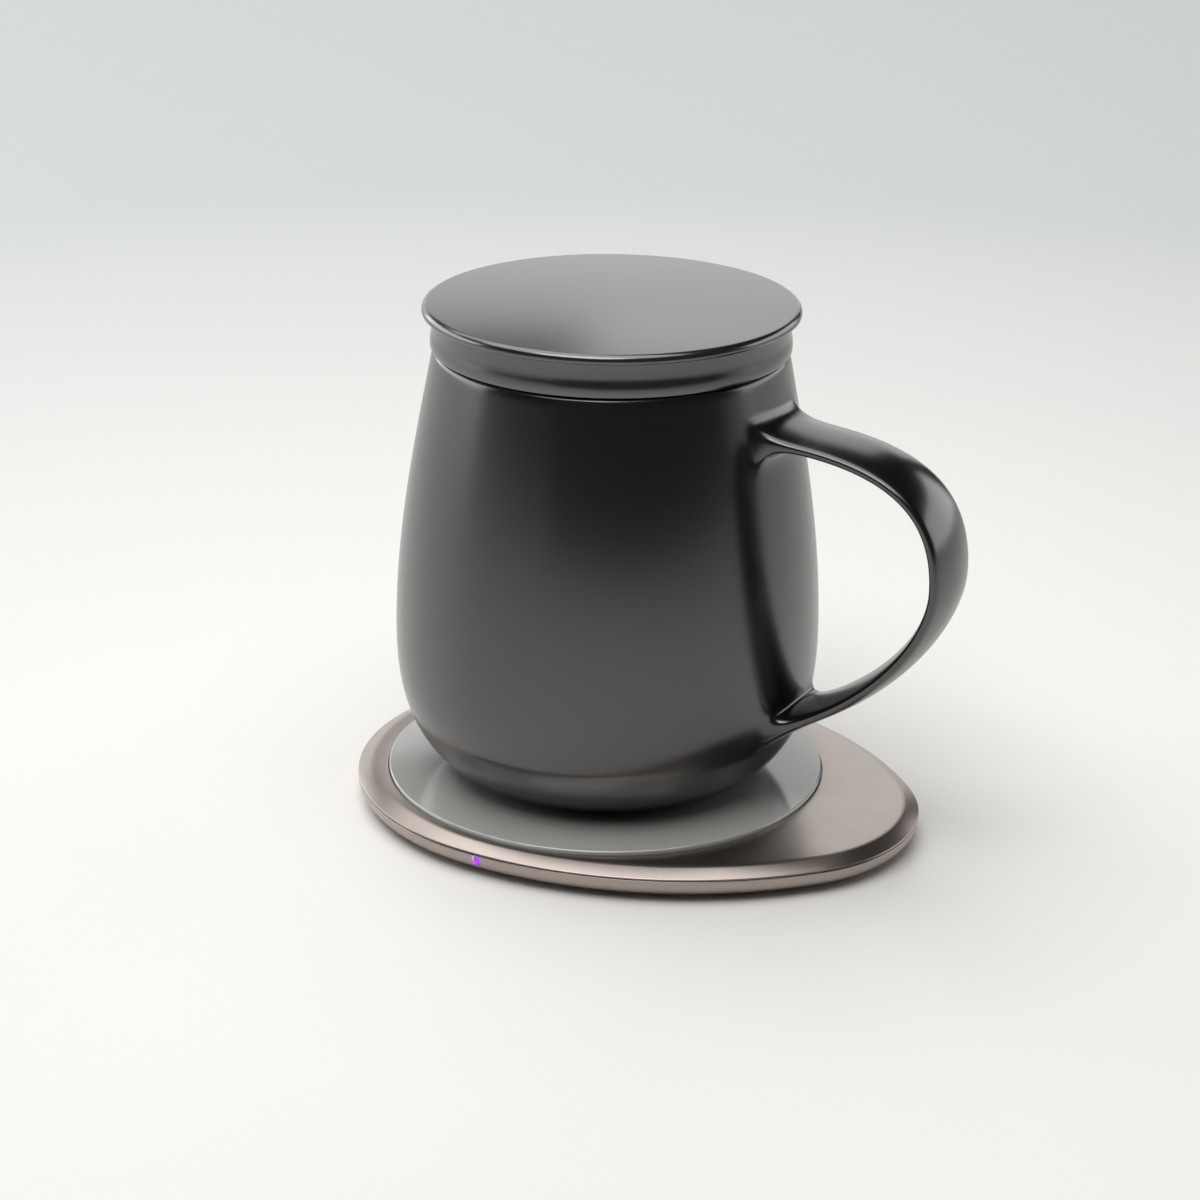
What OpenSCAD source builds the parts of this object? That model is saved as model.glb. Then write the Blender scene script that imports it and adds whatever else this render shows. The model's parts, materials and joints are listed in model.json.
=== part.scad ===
// Self-heating mug with a lid, standing on its egg-shaped warming pad.
// The origin is on the table under the mug's axis, +X points along the mug's handle and the pad's tip.

/* [Pad outline] */
// Radius of the round charging plate
plate_r = 46.5; // [42:0.5:50]
// Distance from the charging plate's radius to the radius of the pad's back arc
pad_rim = 4.1; // [4:0.1:8]
// Radius of the arc round the pad's tip
tip_r = 34.3; // [28:0.1:40]
// Radius of the two long side arcs
side_r = 82.3; // [70:0.1:100]
// Distance between the centres of the back arc and the tip arc
tip_reach = 38.7; // [32:0.1:46]
// Distance of the back arc's centre behind the mug's axis
back_shift = 3; // [0:0.1:6]

/* [Pad covers] */
// Clear height inside the pad, from its floor to the seam
bay_h = 3.4; // [3.1:0.1:6]
// Width of the bright chamfer round the top, seen from above
chamfer_w = 3.2; // [1:0.1:3.4]
// Height of that chamfer
chamfer_h = 1.7; // [1.4:0.1:2]
// Wall of the bottom cover
pad_wall = 2; // [1.8:0.1:2.4]
// Thickness of the bottom cover's floor
pad_floor = 1.4; // [1.2:0.1:1.8]
// Width of the chamfer inside the bottom cover, between its wall and its floor
tray_chamfer = 1; // [0.5:0.1:1.2]
// Height of the dark seam between the two covers
seam_h = 0.4; // [0.2:0.1:0.6]
// Depth of that seam
seam_d = 0.6; // [0.3:0.1:0.8]
// Width of the rounding under the lower band
under_w = 5; // [2:0.1:5.5]
// Height of that rounding
under_h = 4.1; // [2:0.1:4.2]
// Thickness of the locating skirt under the top cover
skirt_t = 1; // [0.6:0.1:1.4]
// Height of that skirt
skirt_h = 1.2; // [0.6:0.1:1.4]
// Width of the silicone cord between the covers
gasket_w = 0.6; // [0.4:0.1:0.7]
// Height of that cord
gasket_h = 0.3; // [0.2:0.05:0.35]
// Thickness of the silicone sole
sole_t = 1.3; // [1:0.1:2]
// Depth of the recess that holds the sole
sole_recess = 0.4; // [0.2:0.1:0.6]
// Distance of the sole's edge inside the pad's outline
sole_inset = 6.2; // [5.8:0.1:9]

/* [Charging plate] */
// Thickness of the glass charging plate
plate_t = 1.6; // [1.2:0.1:2]
// Height of the charging plate over the metal top
plate_proud = 0.8; // [0.4:0.1:1]
// Thickness of the adhesive ring under the charging plate
adhesive_t = 0.2; // [0.1:0.05:0.4]
// Width of the ledge that carries the charging plate
ledge_w = 4.5; // [3:0.1:6]

/* [Pad electronics] */
// Inner radius of both flat coils
coil_in_r = 9; // [8:0.1:11]
// Number of turns of both flat coils
coil_turns = 8; // [5:1:8]
// Spacing of the turns
coil_pitch = 1.8; // [1.6:0.1:2]
// Width of the flat wire
wire_w = 1.2; // [0.8:0.1:1.2]
// Thickness of the flat wire
wire_t = 1.1; // [0.8:0.1:1.3]
// Thickness of the ferrite discs
ferrite_t = 0.8; // [0.5:0.1:1]
// Space between the coil and the charging plate
coil_gap = 0.9; // [0.75:0.05:1.2]
// Wall round the coil carrier
carrier_wall = 1.4; // [1:0.1:2]
// Thickness of the circuit board
board_t = 0.8; // [0.6:0.1:1]
// Height of the posts that carry the circuit board
post_h = 0.4; // [0.3:0.1:0.6]
// Width of the power socket's mouth
usb_w = 8.34; // [8.2:0.02:8.5]
// Height of the power socket's mouth
usb_h = 2.56; // [2.4:0.02:2.6]
// Depth of the power socket
usb_d = 7.4; // [6.5:0.1:8.5]
// Sheet of the power socket's shell
usb_sheet = 0.3; // [0.2:0.05:0.3]
// Distance of the power socket's mouth inside the pad's outline
usb_in = 1.8; // [0.5:0.1:2.5]
// Radius of the light window
led_r = 1.1; // [0.8:0.05:1.15]
// Radius of the cover screws
screw_r = 1; // [0.8:0.05:1.1]
// Distance of the cover screws inside the sole's edge
screw_in = 2.4; // [2.2:0.1:4]

/* [Mug] */
// Largest radius of the mug
belly_r = 44.7; // [41:0.1:50]
// Height of the largest radius over the mug's foot
belly_z = 30; // [25:0.5:36]
// Outer radius of the rim
rim_r = 36.8; // [33:0.2:40]
// Height of the mug without its lid
mug_h = 92.3; // [80:0.5:105]
// Thickness of the ceramic wall
mug_wall = 3.6; // [3:0.1:4.6]
// Radius of the rounded edges of the rim
rim_round = 1.1; // [0.6:0.1:1.4]
// Outer radius of the foot ring
foot_r = 27; // [25:0.5:30]
// Width of the foot ring
foot_w = 2.8; // [2:0.1:4]
// Depth of the heater's chamber in the base
chamber_h = 7.5; // [7.2:0.1:9]
// Thickness of the ceramic floor over the chamber
mug_floor = 4.5; // [3.5:0.1:6]

/* [Mug heater] */
// Thickness of the base cover
base_cover_t = 1.6; // [1.2:0.1:1.8]
// Distance of the base cover above the foot
base_cover_up = 0.5; // [0.3:0.1:0.6]
// Width of the silicone seal round the base cover
base_seal_w = 1; // [0.7:0.1:1.4]
// Thickness of the heating film
film_t = 0.5; // [0.3:0.1:0.7]

/* [Handle] */
// Distance of the handle's outermost point from the belly
handle_out = 33.6; // [26:0.1:38]
// Width of the strap
handle_w = 17.4; // [13:0.2:20]
// Thickness of the strap at its middle
handle_t = 4.2; // [3.4:0.1:5.2]
// Height of the upper root over the mug's foot
handle_top_z = 80; // [72:0.5:82]
// Height of the lower root over the mug's foot
handle_low_z = 18.7; // [17:0.1:26]
// Height of the handle's outermost point over the mug's foot
handle_mid_z = 55.5; // [48:0.5:60]
// Depth that the roots run into the wall
root_sink = 1.6; // [1.4:0.1:2]

/* [Lid] */
// Overhang of the lid's top plate past the rim's radius
lid_over = 2; // [1.4:0.1:3.5]
// Thickness of the top plate's rounded edge
lid_edge_t = 2; // [1.6:0.1:3]
// Height of the band under the top plate
lid_band_h = 7.1; // [5.5:0.1:10]
// Distance of the band's neck inside the top plate's edge
lid_neck_in = 2.2; // [1.8:0.1:4]
// Distance that the band flares out below that neck
lid_flare = 0.8; // [0.4:0.1:1.6]
// Height of the flare's widest line over the lid's underside
lid_flare_z = 0.5; // [0.3:0.1:1.5]
// Height at which the flare runs out into the neck
lid_neck_z = 4.8; // [3.4:0.1:5.2]
// Gap between the lid's underside and the rim
lid_gap = 0.3; // [0.2:0.1:0.4]
// Thickness of the lid at its middle
lid_top_t = 3.4; // [3:0.1:4.4]
// Depth that the lid's collar reaches into the mug
collar_h = 5; // [3:0.1:9]
// Wall of that collar
collar_wall = 2.8; // [2.2:0.1:3.6]
// Gap between the collar and the mug's mouth
collar_clear = 0.6; // [0.4:0.1:1]
// Thickness of the silicone gasket in the groove under the lid
lid_gasket_t = 0.7; // [0.5:0.1:1]
// Width of that gasket
lid_gasket_w = 1.5; // [1:0.1:2]

/* [Hidden] */
$fn = 96;

// Finishes
bronze = "#b3a59c";
plate_grey = "#9c9e97";
charcoal = "#2b2b2d";
silicone = "#3a3a3c";
copper = "#b4713d";
board_green = "#2e5a3c";
ferrite_grey = "#454548";
steel = "#bfc2c4";
chip_black = "#1d1d20";
capacitor_tan = "#c9a66b";

// Clearances
seat_gap = 0.1;
fit_gap = 0.15;
wire_gap = 0.05;
eps = 0.01;

// Outline of the pad: every arc is found by the direction that its edge faces
outline_steps = 120;
back_r = plate_r + pad_rim;
back_c = [-back_shift, 0];
tip_c = [tip_reach - back_shift, 0];
back_gap = side_r - back_r;
tip_gap = side_r - tip_r;
side_x = (back_gap ^ 2 - tip_gap ^ 2 + tip_reach ^ 2) / (2 * tip_reach);
side_y = sqrt(back_gap ^ 2 - side_x ^ 2);
tip_turn = atan2(side_y, tip_reach - side_x);
back_turn = atan2(side_y, -side_x);

// Heights of the pad's layers over the table
under_z = sole_t - sole_recess;
floor_z = under_z + pad_floor;
seam_z = floor_z + bay_h;
pad_h = seam_z + chamfer_h;
cover_lip = 0.15;
under_steps = 5;
plate_top = pad_h + plate_proud;
plate_under = plate_top - plate_t;
ledge_z = plate_under - adhesive_t;
plate_seat_r = plate_r + fit_gap;
window_r = plate_seat_r - ledge_w;
plate_edge = 0.35;
glue_margin = 0.5;
gasket_inset = (seam_d + pad_wall - gasket_w) / 2;

// Coil stack in the pad, hung from the charging plate's underside
coil_out_r = coil_in_r + coil_turns * coil_pitch + wire_w;
coil_top = plate_under - coil_gap;
coil_z = coil_top - wire_t;
ferrite_z = coil_z - ferrite_t;
ferrite_r = coil_out_r + 0.6;
carrier_in_r = ferrite_r + fit_gap;
carrier_r = carrier_in_r + carrier_wall;
coil_turn_steps = 24;
spindle_r = coil_in_r - 3;
thermal_pad_r = 2.6;
thermal_pad_t = 0.5;
thermistor_size = [3, 1.8, 0.9];
thermistor_z = plate_under - thermal_pad_t - thermistor_size.z;
lead_r = 0.3;
lead_z = coil_top + lead_r + wire_gap;
lead_y = 2.5;
lead_end_x = carrier_r + 3;
lead_notch = [2 * carrier_wall + 1, 2 * lead_y + 2];

// Circuit board and what stands on it
board_gap = 0.6;
board_in_r = carrier_r + board_gap;
board_z = floor_z + post_h;
board_top = board_z + board_t;
board_inset = pad_wall + skirt_t + board_gap;
post_r = 1.5;
post_inset = 11;
post_turns = [62, 118, 180, 242, 298];
chip_size = [6, 6, 0.9];
chip_at = tip_c + [-2, -16];
transistor_size = [3.3, 3.3, 0.9];
transistor_at = tip_c + [9, -12];
transistor_step = 5;
capacitor_size = [3.2, 1.8, 1.4];
capacitor_at = tip_c + [-1, 12];
capacitor_step = 3;
inductor_at = tip_c + [12, 5];
inductor_size = [7, 7, seam_z - board_top - 0.3];
inductor_dish_r = 2.4;
inductor_dish = 0.3;

// Screws that close the pad from below
screw_inset = sole_inset + screw_in;
screw_turns = [35, 145, 215, 325];
head_r = 1.8 * screw_r;
head_h = 0.8;
key_r = 0.8 * screw_r;
boss_r = screw_r + 1.4;
boss_split = floor_z + 1;
screw_top = seam_z - 0.3;

// Power socket on the +Y side and light window on the -Y side, both square to the back arc
side_c = [-back_shift, back_r];
usb_y = side_c.y - usb_in;
usb_out_w = usb_w + 2 * usb_sheet;
usb_out_h = usb_h + 2 * usb_sheet;
usb_z = seam_z - gasket_h - 2 * fit_gap - usb_out_h / 2;
usb_under = usb_z - usb_out_h / 2 - wire_gap;
tongue_size = [0.74 * usb_w, usb_d - usb_sheet - 1, 0.24 * usb_h];
led_size = [2.8, 1.2, 1.1];
led_z = board_top + led_size.z / 2;
led_sink = 0.5;
led_flange_r = led_r + 0.4;
led_flange_t = 0.8;
side_notch = 4 * (pad_wall + skirt_t);

// Mug
mug_z = plate_top;
chamber_r = foot_r - foot_w;
foot_edge = 0.5;
curve_steps = 14;
rim_steps = 6;
inner_floor = chamber_h + mug_floor;
neck_slope = 0.18;
base_cover_r = chamber_r - base_seal_w;
rx_coil_z = base_cover_up + base_cover_t;
rx_ferrite_z = rx_coil_z + wire_t;
rx_board_z = rx_ferrite_z + ferrite_t;
film_z = chamber_h - film_t;
heater_gap = 0.6;
heater_r = chamber_r - heater_gap;
rx_pocket_r = 8;
rx_turns = floor((heater_r - coil_in_r - wire_w) / coil_pitch);
rx_board_r = heater_r - 1;
cutout_r = 2.6;
tuning_x = 5;
tuning_size = [1.8, 3.2, 1.2];
seal_up = 0.2;

// Handle
handle_reach = belly_r + handle_out;
handle_mid_reach = handle_reach - handle_t / 2;
handle_rings = 18;
handle_sides = 24;
handle_square = 2.6;
root_length = 6;
root_widen = 0.14;
root_thicken = 0.8;

// Lid
rim_z = mug_z + mug_h;
lid_z = rim_z + lid_gap;
mouth_r = rim_r - mug_wall;
lid_r = rim_r + lid_over;
lid_h = lid_band_h + lid_edge_t;
neck_r = lid_r - lid_neck_in;
flare_r = neck_r + lid_flare;
flare_steps = 8;
collar_r = mouth_r - collar_clear;
collar_in_r = collar_r - collar_wall;
collar_low = -collar_h - lid_gap;
collar_round = 0.6;
lid_edge_r = lid_edge_t / 2;
lid_gasket_r = rim_r - mug_wall / 2;
groove_d = lid_gasket_t - lid_gap;
groove_in_r = lid_gasket_r - lid_gasket_w / 2 - seat_gap;
groove_out_r = lid_gasket_r + lid_gasket_w / 2 + seat_gap;

function tip_side(a) = a <= tip_turn || a >= 360 - tip_turn;
function edge_centre(a) =
    tip_side(a) ? tip_c
    : a < back_turn ? back_c + [side_x, -side_y]
    : a <= 360 - back_turn ? back_c
    : back_c + [side_x, side_y];
function edge_radius(a) = tip_side(a) ? tip_r : abs(a - 180) <= 180 - back_turn ? back_r : side_r;
function edge_point(a, inset) = edge_centre(a) + (edge_radius(a) - inset) * [cos(a), sin(a)];
function outline(inset) = [for (i = [0:outline_steps - 1]) edge_point(i * 360 / outline_steps, inset)];

function arc(c, r, from, to, steps) =
    [for (i = [0:steps]) c + r * [cos(from + (to - from) * i / steps), sin(from + (to - from) * i / steps)]];
function bezier(p, t) =
    (1 - t) ^ 3 * p[0] + 3 * (1 - t) ^ 2 * t * p[1] + 3 * (1 - t) * t ^ 2 * p[2] + t ^ 3 * p[3];
function bezier_slope(p, t) =
    (1 - t) ^ 2 * (p[1] - p[0]) + 2 * (1 - t) * t * (p[2] - p[1]) + t ^ 2 * (p[3] - p[2]);
function curve(p, steps) = [for (i = [0:steps]) bezier(p, i / steps)];
function tail(points) = [for (i = [1:len(points) - 1]) points[i]];

// Faces of a skin over loops of points that are stacked along a path
function skin(loops, sides) = concat(
    [[for (j = [0:sides - 1]) j]],
    [for (i = [0:loops - 2], j = [0:sides - 1], k = [0, 1])
        let (a = i * sides + j, b = i * sides + (j + 1) % sides, c = b + sides, d = a + sides)
        k == 0 ? [a, d, c] : [a, c, b]],
    [[for (j = [sides - 1:-1:0]) (loops - 1) * sides + j]]);

// Solid of the pad's outline, with rings of [inset, height] from the lowest to the highest
module pad_skin(rings) {
    polyhedron([for (ring = rings, p = outline(ring[0])) [p.x, p.y, ring[1]]],
        skin(len(rings), outline_steps), convexity = 6);
}

module pad_prism(inset, from, to) {
    translate([0, 0, from])
        linear_extrude(to - from) polygon(outline(inset));
}

module pad_frame(inset, wall, from, to) {
    translate([0, 0, from])
        linear_extrude(to - from)
            difference() {
                polygon(outline(inset));
                polygon(outline(inset + wall));
            }
}

module disc(r, from, to) {
    translate([0, 0, from]) cylinder(r = r, h = to - from);
}

module ring(r_out, r_in, from, to) {
    translate([0, 0, from])
        difference() {
            cylinder(r = r_out, h = to - from);
            translate([0, 0, -eps]) cylinder(r = r_in, h = to - from + 2 * eps);
        }
}

module block(size, from) {
    translate([-size.x / 2, -size.y / 2, from]) cube(size);
}

module at_screws() {
    for (a = screw_turns) {
        p = edge_point(a, screw_inset);
        translate([p.x, p.y, 0]) children();
    }
}

module at_posts() {
    for (a = post_turns) {
        p = edge_point(a, post_inset);
        translate([p.x, p.y, 0]) children();
    }
}

// Bar with round ends that lies along Y, from its mouth inwards
module slot_bar(w, h, depth) {
    rotate([90, 0, 0]) {
        translate([-(w - h) / 2, -h / 2, 0]) cube([w - h, h, depth]);
        for (s = [-1, 1]) translate([s * (w - h) / 2, 0, 0]) cylinder(r = h / 2, h = depth, $fn = 48);
    }
}

module flat_coil(turns, from) {
    steps = turns * coil_turn_steps;
    outer = [for (i = [0:steps]) let (a = 360 * i / coil_turn_steps)
        (coil_in_r + wire_w + coil_pitch * i / coil_turn_steps) * [cos(a), sin(a)]];
    inner = [for (i = [steps:-1:0]) let (a = 360 * i / coil_turn_steps)
        (coil_in_r + coil_pitch * i / coil_turn_steps) * [cos(a), sin(a)]];
    translate([0, 0, from]) linear_extrude(wire_t) polygon(concat(outer, inner));
}

module non_slip_sole() {
    color(silicone) pad_prism(sole_inset, 0, sole_t);
}

module bottom_cover() {
    under = [for (i = [0:under_steps]) let (a = 90 * i / under_steps)
        [under_w * (1 - sin(a)), under_z + under_h * (1 - cos(a))]];
    color(bronze) {
        difference() {
            pad_skin(concat(under,
                [[0, seam_z - seam_h], [seam_d, seam_z - seam_h], [seam_d, seam_z]]));
            pad_skin([[pad_wall + tray_chamfer, floor_z], [pad_wall, floor_z + tray_chamfer],
                [pad_wall, seam_z + 1]]);
            pad_prism(sole_inset - seat_gap, under_z - 1, sole_t);
            pad_frame(gasket_inset, gasket_w, seam_z - gasket_h, seam_z + 1);
            translate([side_c.x, side_c.y + 1, usb_z])
                slot_bar(usb_out_w + 2 * fit_gap, usb_out_h + 2 * fit_gap, pad_wall + 2);
            translate([side_c.x, usb_y - usb_d / 2, 0])
                block([usb_out_w + 2 * fit_gap, usb_d + 2 * fit_gap, pad_floor], usb_under);
            translate([side_c.x, -side_c.y - 1, led_z])
                rotate([-90, 0, 0]) cylinder(r = led_r + wire_gap, h = pad_wall + 2);
            translate([side_c.x, -side_c.y + pad_wall, led_z])
                rotate([-90, 0, 0]) cylinder(r = led_flange_r + wire_gap, h = tray_chamfer + 1);
            at_screws() {
                disc(head_r + fit_gap, sole_t - eps, sole_t + head_h);
                disc(screw_r + wire_gap, sole_t, floor_z + 1);
            }
        }
        difference() {
            at_screws() disc(boss_r, floor_z - eps, boss_split);
            at_screws() disc(screw_r + wire_gap, floor_z - 1, boss_split + 1);
        }
        at_posts() disc(post_r, floor_z - eps, board_z);
    }
}

module cover_screws() {
    color(steel)
        at_screws() {
            difference() {
                disc(head_r, sole_t, sole_t + head_h);
                translate([0, 0, sole_t - eps]) cylinder(r = key_r, h = head_h / 2, $fn = 6);
            }
            disc(screw_r, sole_t + head_h - eps, screw_top);
        }
}

module cover_gasket() {
    color(silicone) pad_frame(gasket_inset, gasket_w, seam_z - gasket_h, seam_z);
}

module top_cover() {
    color(bronze) {
        difference() {
            pad_skin([[0, seam_z], [0, seam_z + cover_lip], [chamfer_w, pad_h]]);
            disc(plate_seat_r, ledge_z, pad_h + 1);
            disc(window_r, seam_z - 1, pad_h + 1);
        }
        difference() {
            pad_frame(pad_wall + seat_gap, skirt_t, seam_z - skirt_h, seam_z + eps);
            translate(side_c) block([usb_out_w + 2, side_notch, seam_z], 0);
            translate([side_c.x, -side_c.y, 0]) block([2 * led_size.x + 2, side_notch, seam_z], 0);
        }
        difference() {
            at_screws() disc(boss_r, boss_split, seam_z + eps);
            at_screws() disc(screw_r + wire_gap, boss_split - 1, screw_top + wire_gap);
        }
    }
}

module plate_adhesive() {
    color(silicone) ring(plate_r - glue_margin, window_r + glue_margin, ledge_z, plate_under);
}

module charging_plate() {
    color(plate_grey)
        rotate_extrude()
            polygon(concat([[0, plate_under], [plate_r, plate_under]],
                arc([plate_r - plate_edge, plate_top - plate_edge], plate_edge, 0, 90, 4), [[0, plate_top]]));
}

module coil_carrier() {
    color("#d9d9d4")
        difference() {
            union() {
                disc(carrier_r, floor_z, ferrite_z);
                ring(carrier_r, carrier_in_r, ferrite_z - eps, coil_z);
                disc(spindle_r, ferrite_z - eps, thermistor_z);
            }
            translate([carrier_r, 0, 0]) block(concat(lead_notch, plate_top), ferrite_z);
        }
}

module ferrite_shield() {
    color(ferrite_grey) ring(ferrite_r, spindle_r + fit_gap, ferrite_z, coil_z);
}

module transmit_coil() {
    color(copper) flat_coil(coil_turns, coil_z);
}

// One coil lead: along +X over the coil and the carrier, then down to the board
module coil_lead(start_x, y) {
    translate([start_x, y, lead_z]) {
        rotate([0, 90, 0]) cylinder(r = lead_r, h = lead_end_x - start_x, $fn = 24);
        sphere(lead_r, $fn = 24);
    }
    translate([lead_end_x, y, lead_z]) sphere(lead_r, $fn = 24);
    translate([lead_end_x, y, board_top]) cylinder(r = lead_r, h = lead_z - board_top, $fn = 24);
}

module coil_leads() {
    color(copper) {
        coil_lead(coil_in_r + wire_w / 2, -lead_y);
        coil_lead(coil_out_r - wire_w / 2, lead_y);
    }
}

module thermistor() {
    color(chip_black) block(thermistor_size, thermistor_z);
}

module thermal_pad() {
    color("#9fb4c2") disc(thermal_pad_r, plate_under - thermal_pad_t, plate_under);
}

module main_board() {
    color(board_green)
        difference() {
            pad_prism(board_inset, board_z, board_top);
            disc(board_in_r, board_z - 1, board_top + 1);
            at_screws() disc(boss_r + board_gap, board_z - 1, board_top + 1);
            translate([side_c.x, usb_y - usb_d / 2, 0])
                block([usb_out_w + board_gap, usb_d + board_gap, plate_top], 0);
        }
}

module controller_chip() {
    color(chip_black) translate(chip_at) block(chip_size, board_top);
}

module switching_transistors() {
    color(chip_black)
        for (i = [0, 1], j = [0, 1])
            translate(transistor_at + transistor_step * [i, j]) block(transistor_size, board_top);
}

module resonant_capacitors() {
    color(capacitor_tan)
        for (i = [0:3])
            translate(capacitor_at + [0, capacitor_step * i]) block(capacitor_size, board_top);
}

module power_inductor() {
    color(ferrite_grey)
        translate(inductor_at)
            difference() {
                block(inductor_size, board_top);
                translate([0, 0, board_top + inductor_size.z - inductor_dish])
                    cylinder(r = inductor_dish_r, h = 1);
            }
}

module usb_shell() {
    color(steel)
        translate([side_c.x, usb_y, usb_z])
            difference() {
                slot_bar(usb_out_w, usb_out_h, usb_d);
                translate([0, eps, 0]) slot_bar(usb_w, usb_h, usb_d - usb_sheet + eps);
            }
}

module usb_tongue() {
    color(chip_black)
        translate([side_c.x, usb_y - usb_d + usb_sheet + tongue_size.y / 2, 0])
            block(tongue_size, usb_z - tongue_size.z / 2);
}

module status_led() {
    color("#efe9f5")
        translate([side_c.x, -(back_r - board_inset) + led_size.y / 2, 0]) block(led_size, board_top);
}

module light_pipe() {
    color("#7a4be0")
        translate([side_c.x, -back_r, led_z])
            rotate([-90, 0, 0]) {
                translate([0, 0, led_sink]) cylinder(r = led_r, h = board_inset - seat_gap - led_sink);
                translate([0, 0, pad_wall + seat_gap]) cylinder(r = led_flange_r, h = led_flange_t);
            }
}

// Outer curve of the mug from its foot to its rim, as [radius, height]
mug_low = [[foot_r, foot_edge], [foot_r + 0.53 * (belly_r - foot_r), foot_edge + 0.7],
           [belly_r, 0.37 * belly_z], [belly_r, belly_z]];
mug_high = [[belly_r, belly_z], [belly_r, belly_z + 0.36 * (mug_h - belly_z)],
            [rim_r + neck_slope * 0.33 * (mug_h - belly_z), belly_z + 0.67 * (mug_h - belly_z)],
            [rim_r, mug_h - rim_round]];
mug_side = concat(curve(mug_low, curve_steps), curve(mug_high, curve_steps));
wall_by_height = [for (p = mug_side) [p.y, p.x]];
function wall_r(z) = lookup(z, wall_by_height);

// Inner curve from the rim down to the floor
hold_r = belly_r - mug_wall;
mug_in_high = [[mouth_r, mug_h - rim_round], mug_high[2] - [mug_wall, 0], mug_high[1] - [mug_wall, 0],
               [hold_r, belly_z]];
mug_in_low = [[hold_r, belly_z], [hold_r, inner_floor + 0.35 * (belly_z - inner_floor)],
              [0.8 * hold_r, inner_floor], [0.45 * hold_r, inner_floor]];

module mug_body() {
    rim_top = mug_h - rim_round;
    color(charcoal)
        translate([0, 0, mug_z])
            rotate_extrude()
                polygon(concat(
                    [[chamber_r, 0], [foot_r - foot_edge, 0]],
                    curve(mug_low, curve_steps),
                    tail(curve(mug_high, curve_steps)),
                    tail(arc([rim_r - rim_round, rim_top], rim_round, 0, 90, rim_steps)),
                    arc([mouth_r + rim_round, rim_top], rim_round, 90, 180, rim_steps),
                    tail(curve(mug_in_high, curve_steps)),
                    tail(curve(mug_in_low, curve_steps)),
                    [[0, inner_floor], [0, chamber_h], [chamber_r, chamber_h]]));
}

// Middle line of the strap, from the upper root round to the lower root
handle_upper = [[wall_r(handle_top_z) - root_sink, handle_top_z],
                [wall_r(handle_top_z) + 0.58 * (handle_mid_reach - wall_r(handle_top_z)), handle_top_z],
                [handle_mid_reach, handle_top_z - 0.2 * (handle_top_z - handle_mid_z)],
                [handle_mid_reach, handle_mid_z]];
handle_lower = [[handle_mid_reach, handle_mid_z],
                [handle_mid_reach, handle_mid_z - 0.33 * (handle_mid_z - handle_low_z)],
                [wall_r(handle_low_z) + 0.58 * (handle_mid_reach - wall_r(handle_low_z)),
                 handle_low_z + 0.22 * (handle_mid_z - handle_low_z)],
                [wall_r(handle_low_z) - root_sink, handle_low_z]];

function handle_loop(c, slope) =
    let (t = slope / norm(slope),
         normal = [-t.y, t.x],
         near = max(0, 1 - (c.x - wall_r(c.y)) / root_length) ^ 2,
         half_w = handle_w / 2 * (1 + root_widen * near),
         half_t = handle_t / 2 * (1 + root_thicken * near))
    [for (j = [0:handle_sides - 1])
        let (a = 360 * j / handle_sides,
             u = sign(cos(a)) * abs(cos(a)) ^ (2 / handle_square),
             v = sign(sin(a)) * abs(sin(a)) ^ (2 / handle_square),
             p = c + half_t * v * normal)
        [p.x, half_w * u, p.y]];

module mug_handle() {
    loops = concat(
        [for (i = [0:handle_rings]) let (t = i / handle_rings)
            handle_loop(bezier(handle_upper, t), bezier_slope(handle_upper, t))],
        [for (i = [1:handle_rings]) let (t = i / handle_rings)
            handle_loop(bezier(handle_lower, t), bezier_slope(handle_lower, t))]);
    color(charcoal)
        translate([0, 0, mug_z])
            polyhedron([for (loop = loops, p = loop) p], skin(len(loops), handle_sides), convexity = 6);
}

module heating_film() {
    color("#8a4b25") translate([0, 0, mug_z]) disc(heater_r, film_z, chamber_h);
}

module insulation_ring() {
    color("#c9c2b2") translate([0, 0, mug_z]) ring(heater_r, rx_pocket_r, rx_board_z + board_t, film_z);
}

module receiver_board() {
    color(board_green) translate([0, 0, mug_z]) disc(rx_board_r, rx_board_z, rx_board_z + board_t);
}

module tuning_capacitors() {
    color(capacitor_tan)
        for (s = [-1, 1]) translate([s * tuning_x, 0, mug_z]) block(tuning_size, rx_board_z + board_t);
}

module thermal_cutout() {
    color(steel) translate([0, 0, mug_z]) disc(cutout_r, rx_board_z + board_t, film_z);
}

module receiver_ferrite() {
    color(ferrite_grey) translate([0, 0, mug_z]) disc(heater_r, rx_ferrite_z, rx_board_z);
}

module receiver_coil() {
    color(copper) translate([0, 0, mug_z]) flat_coil(rx_turns, rx_coil_z);
}

module base_cover() {
    color("#232325") translate([0, 0, mug_z]) disc(base_cover_r, base_cover_up, base_cover_up + base_cover_t);
}

module base_seal() {
    color(silicone)
        translate([0, 0, mug_z]) ring(chamber_r, base_cover_r, base_cover_up + seal_up, rx_coil_z);
}

// Outer curve of the lid's flare from its underside to the neck, as [radius, height]
flare_low = [[neck_r + 0.3 * lid_flare, 0], [neck_r + 0.7 * lid_flare, 0], [flare_r, 0.45 * lid_flare_z],
             [flare_r, lid_flare_z]];
flare_high = [[flare_r, lid_flare_z], [flare_r, lid_flare_z + 0.45 * (lid_neck_z - lid_flare_z)],
              [neck_r, lid_flare_z + 0.55 * (lid_neck_z - lid_flare_z)], [neck_r, lid_neck_z]];

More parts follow.
